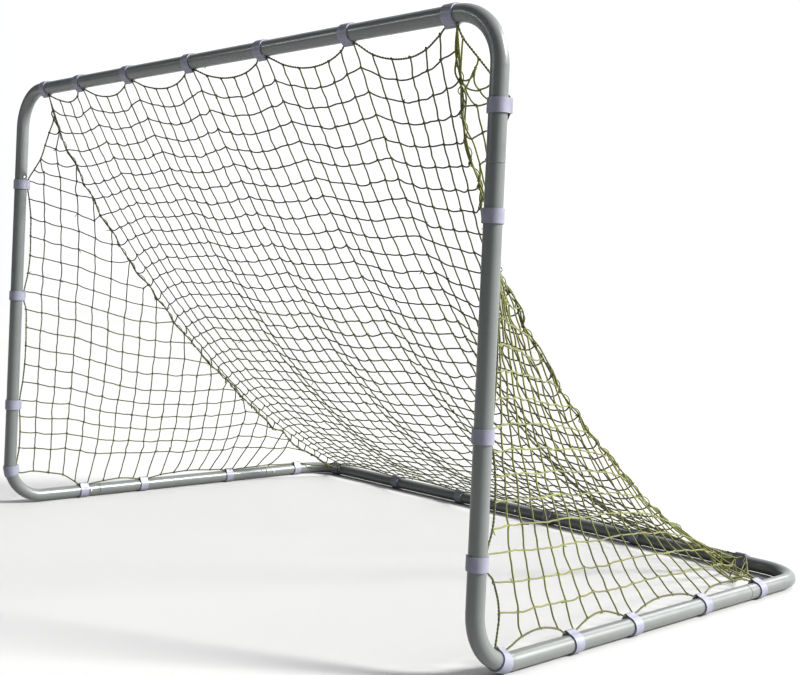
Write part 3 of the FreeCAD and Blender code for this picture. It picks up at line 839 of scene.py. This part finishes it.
def twine_material(name, light, dark):
    """Twisted polyethylene twine: wound plies, loose fibres and uneven dye, with painted shade in
    the grooves between the plies.
    """
    made, tree, shader = material(name, roughness=0.62, sheen=0.25)
    shader.inputs["Sheen Roughness"].default_value = 0.5
    split = tree.nodes.new("ShaderNodeSeparateXYZ")
    tree.links.new(place(tree, "ShaderNodeUVMap", uv_map="along").outputs["UV"], split.inputs[0])
    along = maths(tree, "MULTIPLY", split.outputs[0], PLIES / LAY)
    around = maths(tree, "MULTIPLY", split.outputs[1], float(PLIES))
    ply = maths(tree, "PINGPONG", maths(tree, "ADD", along, around), 0.5)
    groove = span(tree, ply, 0.0, 0.22, 0.0, 1.0)
    where = on_object(tree)
    dye = tints(tree, noise(tree, where, 9.0, 4), 0.32, 0.68, (dark, light))
    fibre = tints(tree, noise(tree, where, 1500.0, 2), 0.3, 0.7, FIBRES)
    colour = mix(tree, 1.0, dye, fibre, "MULTIPLY")
    # painted shade: the colour is darker in the grooves between the plies
    shade = mix(tree, groove, PLY_GROOVE_SHADE, PLY_CROWN)
    tree.links.new(mix(tree, 1.0, colour, shade, "MULTIPLY"), shader.inputs["Base Color"])
    rough = bump(tree, shader, groove, 0.6, 0.0005)
    bump(tree, shader, noise(tree, where, 1900.0, 2), 0.25, 0.0002, under=rough)
    return made


twine = twine_material("net_twine", (0.20, 0.215, 0.028), (0.090, 0.098, 0.009))
# the same twine made darker for the back and left nets and the left seam: painted shade
shaded_twine = twine_material("net_twine_painted_shade", (0.088, 0.096, 0.013), (0.040, 0.045, 0.005))
# the edge cord is the same twine made darker: painted shade
cord = twine_material("edge_cord", (0.115, 0.125, 0.018), (0.055, 0.060, 0.006))
coat = tube_material()
plastic = clip_material()
button_steel = steel_material("button_steel", (0.62, 0.61, 0.59), 0.30)
spring_steel = steel_material("spring_steel", (0.42, 0.42, 0.43), 0.38)


def paint(node, made):
    piece = frame["nodes"][node]
    if len(piece.data.materials) == 0:
        piece.data.materials.append(made)
    for slot in piece.material_slots:
        slot.material = made


for node in frame["nodes"]:
    if node.endswith(("_tube", "_post", "_side_bar")):
        paint(node, coat)
    elif "_clip_" in node:
        paint(node, plastic)
    elif node.endswith("_button"):
        paint(node, button_steel)
    elif node.endswith("_leaf_spring"):
        paint(node, spring_steel)

# ---------------------------------------------------------------- leaf springs under their buttons
for joint in frame["joints"]:
    stem = joint["name"].removesuffix("_button_press")
    leaf = frame["nodes"][f"{stem}_leaf_spring"]
    spring = bpy.data.objects.new(f"{stem}_spring", leaf.data.copy())
    scene.collection.objects.link(spring)
    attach(spring, "frame")
    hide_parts(f"{stem}_leaf_spring")
    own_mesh(spring)

# ---------------------------------------------------------------- the net's pieces
back = Tubes()
back_knots = draw_panel(back, "back")
draw_knots(back, back_knots, BACK_OUT, BACK_TAILS)
# the back net in the darker twine, which is painted shade
net_back = back.build("net_back", shaded_twine)

# the left panel in the darker twine of painted shade, the right in the plain twine
for name, way, made in (("left", -X, shaded_twine), ("right", X, twine)):
    tubes = Tubes()
    used = draw_panel(tubes, name) - back_knots
    draw_knots(tubes, used, way, SIDE_TAILS)
    tubes.build(f"net_{name}", made)

border = Tubes()
for chain in chains:
    draw_cord(border, chain)
# the border cord in that darker twine of painted shade
net_border = border.build("net_border", cord)

# the left seam in the darker twine of painted shade, the right in the plain twine
for name, column, strands, spread, made in (("left", 0, 2, 0.0026, shaded_twine),
                                            ("right", COLUMNS, 3, 0.0042, twine)):
    tubes = Tubes()
    draw_seam(tubes, grid[column], strands, spread)
    draw_knots(tubes, set(grid[column][1:-1]), lean(Y, Z, 30), SEAM_TAILS, size=0.0032)
    tubes.build(f"seam_{name}", made)

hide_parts("back_net")
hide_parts("left_side_net")
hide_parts("right_side_net")
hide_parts("net_edge_cord")
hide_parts("left_seam_lacing")
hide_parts("right_seam_lacing")


print("cord lengths", [round(float(sum(np.linalg.norm(np.diff(knots[list(c)], axis=0), axis=1))), 3)
                       for c in chains])


# ---------------------------------------------------------------- floor and light
FLOOR_CELLS, FLOOR_HALF = 24, 14.0
BACK_LIGHT = {"place_at": (0.5, 5.0, 3.4), "aim": (0.0, 0.2, 0.5), "energy": 60, "size": 2.2}
STRIP_LIGHT = {"place_at": (-2.3, -3.29, 2.17), "aim": (-2.3, -0.62, 1.2), "energy": 30,
               "size": 0.40, "long": 2.3}
SUN_ENERGY, SUN_WIDTH, SUN_COLOUR = 6.7, 14, (1.0, 0.99, 0.96)
SUN_TURN = (56, 0, 128)  # degrees, like its width
BRIGHT_WAY = (0.35, 0.93, 0.12)  # where the surroundings are brightest: behind the goal
SURROUNDINGS = [(0.0, (0.08, 0.084, 0.092)), (0.33, (0.10, 0.104, 0.112)),  # in front of it
                (0.45, (0.66, 0.67, 0.70)), (0.60, (0.90, 0.91, 0.94)), (1.0, (0.96, 0.97, 1.0))]


def make_floor():
    mesh = bpy.data.meshes.new("floor")
    axis = np.linspace(-FLOOR_HALF, FLOOR_HALF, FLOOR_CELLS + 1)
    wide = FLOOR_CELLS + 1
    points = [(x, y, 0.0) for y in axis for x in axis]
    quads = [(r * wide + c, r * wide + c + 1, (r + 1) * wide + c + 1, (r + 1) * wide + c)
             for r in range(FLOOR_CELLS) for c in range(FLOOR_CELLS)]
    mesh.from_pydata(points, [], quads)
    made, tree, shader = material("floor", roughness=0.75)
    tint = tints(tree, noise(tree, on_object(tree), 0.6, 2), 0.3, 0.7, FLOOR_TINTS)
    tree.links.new(tint, shader.inputs["Base Color"])
    mesh.materials.append(made)
    floor = bpy.data.objects.new("floor", mesh)
    scene.collection.objects.link(floor)


def make_light(name, place_at, aim, energy, size, long=0.0):
    """A round light, or a level strip of the given length and width."""
    data = bpy.data.lights.new(name, "AREA")
    data.shape, data.size, data.energy = ("RECTANGLE" if long else "DISK"), long or size, energy
    if long:
        data.size_y = size
    light = bpy.data.objects.new(name, data)
    scene.collection.objects.link(light)
    back_way = np.array(place_at, float) - np.array(aim, float)
    back_way /= np.linalg.norm(back_way)
    right = np.cross(Z, back_way)
    right /= np.linalg.norm(right)
    light.matrix_world = standing(place_at, right, np.cross(back_way, right), back_way)
    return light


make_floor()
world = bpy.data.worlds.new("world")
scene.world = world
world.use_nodes = True
sky = world.node_tree
dot = place(sky, "ShaderNodeVectorMath", operation="DOT_PRODUCT")
dot.inputs[1].default_value = BRIGHT_WAY
sky.links.new(sky.nodes.new("ShaderNodeTexCoord").outputs["Generated"], dot.inputs[0])
tones = ramp(sky, span(sky, dot.outputs["Value"], -1.0, 1.0, 0.0, 1.0), SURROUNDINGS)
sky.links.new(tones, sky.nodes["Background"].inputs["Color"])
make_light("back", **BACK_LIGHT)
strip = make_light("strip", **STRIP_LIGHT)
strip.visible_diffuse = False  # only the line it draws along the crossbar
sun = bpy.data.lights.new("key", "SUN")
sun.energy, sun.angle, sun.color = SUN_ENERGY, math.radians(SUN_WIDTH), SUN_COLOUR
key = bpy.data.objects.new("key", sun)
scene.collection.objects.link(key)
key.rotation_euler = [math.radians(turn) for turn in SUN_TURN]
scene.view_settings.view_transform = "Standard"
scene.view_settings.look = "Medium High Contrast"
